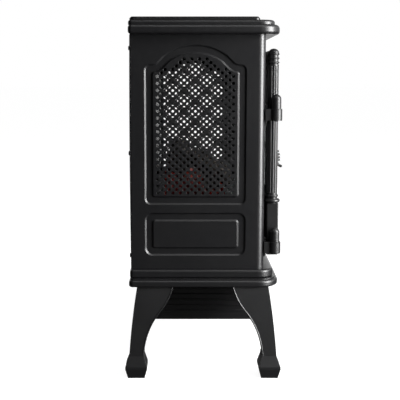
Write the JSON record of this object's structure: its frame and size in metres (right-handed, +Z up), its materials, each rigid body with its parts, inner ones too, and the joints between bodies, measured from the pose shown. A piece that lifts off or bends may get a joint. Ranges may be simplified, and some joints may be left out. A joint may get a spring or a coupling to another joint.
{
  "type": "electric stove fireplace",
  "caption": "Free-standing black electric stove with perforated side panels, hinged glazed door, coil latch handle, log set, flame effect, under-slung fan heater and curved legs.",
  "frame": {"origin": "on the floor, under the middle of the bounding box", "axes": "+Z up, the front faces -Y, +X towards the latch handle side"},
  "size_m": [0.5, 0.3075, 0.5957],
  "materials": {
    "cabinet_paint": "satin black heat-resistant powder coat",
    "door_paint": "satin black paint on cast iron",
    "hinge_paint": "satin black paint",
    "screw_steel": "black oxide",
    "handle_steel": "black enamelled rod",
    "coil_nickel": "black enamelled spring wire",
    "door_glass": "clear tempered glass",
    "galvanised": "zinc-coated sheet",
    "control_plastic": "black glass-filled nylon",
    "knob_plastic": "black moulded plastic",
    "spindle_steel": "bare steel",
    "ember_plastic": "translucent red-orange moulding",
    "log_bark": "painted resin bark",
    "flame_screen": "smoked translucent acrylic",
    "reflector": "bright foil-faced sheet",
    "circuit_board": "green solder mask",
    "led_lens": "clear epoxy lens",
    "blower_aluminium": "mill finish",
    "ceramic_former": "unglazed ceramic",
    "heating_wire": "oxidised resistance wire"
  },
  "bodies": {
    "cabinet": {"back_cover": "cabinet_paint", "base_pan": "cabinet_paint", "base_plate": "cabinet_paint", "blower_frame": "galvanised", "blower_motor": "spindle_steel", "cable_gland": "control_plastic", "control_panel": "control_plastic", "cover_screws": "screw_steel", "ember_bed": "ember_plastic", "firebox_floor": "galvanised", "flame_reflector": "reflector", "flame_screen": "flame_screen", "flicker_brackets": "galvanised", "flicker_motor": "spindle_steel", "front_frame": "cabinet_paint", "heater_grille": "cabinet_paint", "heater_housing": "cabinet_paint", "heating_coils": "heating_wire", "heating_element_frame": "ceramic_former", "hinge_pins": "screw_steel", "hinge_screws": "screw_steel", "led_board": "circuit_board", "led_lamps": "led_lens", "left_side_panel": "cabinet_paint", "leg_bolts": "screw_steel", "leg_front_left": "cabinet_paint", "leg_front_right": "cabinet_paint", "leg_rear_left": "cabinet_paint", "leg_rear_right": "cabinet_paint", "log_back": "log_bark", "log_cross_left": "log_bark", "log_cross_middle": "log_bark", "log_cross_right": "log_bark", "log_front": "log_bark", "lower_hinge_bracket": "hinge_paint", "right_side_panel": "cabinet_paint", "strike_plate": "handle_steel", "switch_bodies": "control_plastic", "terminal_block": "control_plastic", "thermal_cutout": "spindle_steel", "thermostat": "control_plastic", "top_cap": "cabinet_paint", "top_plate": "cabinet_paint", "upper_hinge_bracket": "hinge_paint"},
    "door": {"door_hinge_stile": "door_paint", "door_latch_stile": "door_paint", "door_top_rail": "door_paint", "door_bottom_rail": "door_paint", "door_glass": "door_glass", "glass_clips": "galvanised", "upper_hinge_knuckle": "hinge_paint", "lower_hinge_knuckle": "hinge_paint"},
    "latch": {"latch_handle": "handle_steel", "handle_coil": "coil_nickel", "latch_tongue": "handle_steel"},
    "blower": {"blower_wheel": "blower_aluminium"},
    "flicker": {"flicker_rod": "spindle_steel"},
    "thermostat_dial": {"thermostat_knob": "knob_plastic"},
    "power_switch": {"power_rocker": "knob_plastic"},
    "heat_switch": {"heat_rocker": "knob_plastic"}
  },
  "joints": [
    {"name": "door_swing", "type": "hinge", "parent": "cabinet", "child": "door", "pos_m": [-0.207, -0.09545, 0.445], "axis": [0, 0, -1], "range_deg": [0, 110]},
    {"name": "latch_turn", "type": "hinge", "parent": "door", "child": "latch", "pos_m": [0.165, -0.09145, 0.358], "axis": [0, -1, 0], "range_deg": [0, 85]},
    {"name": "blower_spin", "type": "hinge", "parent": "cabinet", "child": "blower", "pos_m": [0, 0.06305, 0.105], "axis": [1, 0, 0], "continuous": true},
    {"name": "flicker_spin", "type": "hinge", "parent": "cabinet", "child": "flicker", "pos_m": [0, 0.11855, 0.262], "axis": [1, 0, 0], "continuous": true},
    {"name": "thermostat_turn", "type": "hinge", "parent": "cabinet", "child": "thermostat_dial", "pos_m": [-0.045, -0.06145, 0.234], "axis": [0, -1, 0], "range_deg": [0, 270]},
    {"name": "power_rock", "type": "hinge", "parent": "cabinet", "child": "power_switch", "pos_m": [0.015, -0.05845, 0.234], "axis": [-1, 0, 0], "range_deg": [0, 16]},
    {"name": "heat_rock", "type": "hinge", "parent": "cabinet", "child": "heat_switch", "pos_m": [0.05, -0.05845, 0.234], "axis": [-1, 0, 0], "range_deg": [0, 16]}
  ]
}
